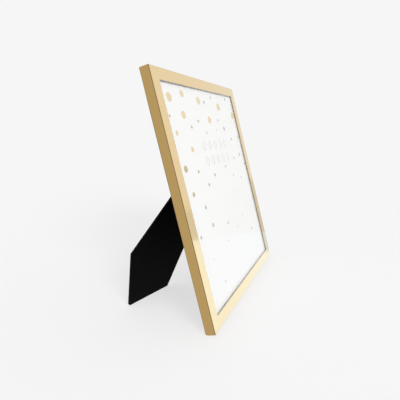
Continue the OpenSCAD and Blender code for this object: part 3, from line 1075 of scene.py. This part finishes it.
class PrintCard(bpy.types.Operator):
    """Gives the card its paper, its confetti dots and its rows of lozenges"""

    bl_idname = "picture_frame.print_card"
    bl_label = "Print card"

    def execute(self, context):
        ink = context.scene.card_print
        paper = coated_paper("calendered_card", ink.paper, roughness=0.5, grain=0.8 * MM, depth=0.02 * MM)
        finish_nodes(paper, ("picture_card",))
        inks = {}
        for name, tint in (
            ("gold_dots", ink.gold_ink),
            ("bronze_dots", ink.bronze_ink),
            ("grey_dots", ink.grey_ink),
            ("lozenges", ink.line_ink),
        ):
            inks[name] = coated_paper(
                "printed_" + name, tint, roughness=0.45, grain=0.6 * MM, depth=0.01 * MM
            )

        tree, keys = dot_tree()
        lift = ink.ink_thick / 2
        confetti = {"gold_dots": GOLD_DOTS, "bronze_dots": BRONZE_DOTS, "grey_dots": GREY_DOTS}
        for name, dots in confetti.items():
            spots = bpy.data.meshes.new(name)
            spots.from_pydata([(across * MM, up * MM, lift) for across, up, _ in dots], [], [])
            radii = spots.attributes.new("dot_radius", "FLOAT", "POINT")
            radii.data.foreach_set("value", [radius * MM for _, _, radius in dots])
            values = {"Sides": DOT_SIDES, "Thickness": ink.ink_thick, "Ink": inks[name]}
            grow(name, spots, tree, keys, values, ON_CARD, "frame")

        tree, keys = lozenge_tree()
        across, up = LOZENGE_MIDDLE
        values = {
            "Columns": ink.lozenges,
            "Rows": LOZENGE_ROWS,
            "Width": ink.lozenge_wide,
            "Height": ink.lozenge_tall,
            "Line": ink.lozenge_line,
            "Thickness": ink.ink_thick,
            "Total Width": LOZENGE_SPAN[0] * MM,
            "Total Height": LOZENGE_SPAN[1] * MM,
            "Ink": inks["lozenges"],
        }
        spots = bpy.data.meshes.new("lozenge_border")
        middle = ON_CARD @ Matrix.Translation((across * MM, up * MM, lift))
        grow("lozenge_border", spots, tree, keys, values, middle, "frame")
        return {"FINISHED"}


class CoverBoards(bpy.types.Operator):
    """Gives the filler, the back panel and the strut their board finishes"""

    bl_idname = "picture_frame.cover_boards"
    bl_label = "Cover boards"

    def execute(self, context):
        finish = context.scene.back_finish
        charcoal = paper_faced_board("charcoal_paper_board", tuple(finish.charcoal), shine=0.2)
        black = paper_faced_board("black_paper_board", tuple(finish.black), shine=0.06)
        finish_nodes(corrugated_kraft("corrugated_kraft", finish.kraft), ("filler_board",))
        finish_nodes(charcoal, ("back_panel",))
        finish_nodes(black, ("strut_board",))
        return {"FINISHED"}


class PlateHardware(bpy.types.Operator):
    """Gives the buttons, hinge, hangers, rivets and nails their plated finishes"""

    bl_idname = "picture_frame.plate_hardware"
    bl_label = "Plate hardware"

    def execute(self, context):
        finish = context.scene.back_finish
        zinc = plated_steel("zinc_plated_steel", tuple(finish.zinc), roughness=0.36, crystal=2.5 * MM)
        nickel = plated_steel("nickel_plated_steel", tuple(finish.nickel), roughness=0.22, crystal=1.5 * MM)
        buttons = [name for name in NODES if name.startswith("button_") and name != "button_rivets"]
        finish_nodes(zinc, (*buttons, "hinge_plate", "strut_leaf", "hanger_upright", "hanger_sideways"))
        finish_nodes(nickel, ("button_rivets", "plate_rivets", "strut_rivets", "hinge_pin", "hanger_nails"))
        return {"FINISHED"}


STEPS = (SetStudio, GildRails, MouldKeys, FitGlass, PrintCard, CoverBoards, PlateHardware)


class FramePanel(bpy.types.Panel):
    """Lists the steps and their settings"""

    bl_idname = "VIEW3D_PT_picture_frame"
    bl_label = "Picture frame"
    bl_space_type = "VIEW_3D"
    bl_region_type = "UI"
    bl_category = "Picture frame"

    def draw(self, context):
        for name, group in SETTINGS.items():
            box = self.layout.box()
            box.label(text=group.__doc__)
            for key in group.__annotations__:
                box.prop(getattr(context.scene, name), key)
        for step in STEPS:
            self.layout.operator(step.bl_idname)


def register():
    for made in (*SETTINGS.values(), *STEPS, FramePanel):
        bpy.utils.register_class(made)
    for name, group in SETTINGS.items():
        setattr(bpy.types.Scene, name, PointerProperty(type=group))


def unregister():
    for name in SETTINGS:
        delattr(bpy.types.Scene, name)
    for made in (FramePanel, *reversed(STEPS), *reversed(SETTINGS.values())):
        bpy.utils.unregister_class(made)


def main():
    register()
    for step in STEPS:
        family, name = step.bl_idname.split(".")
        getattr(getattr(bpy.ops, family), name)()


if __name__ == "__main__":
    main()
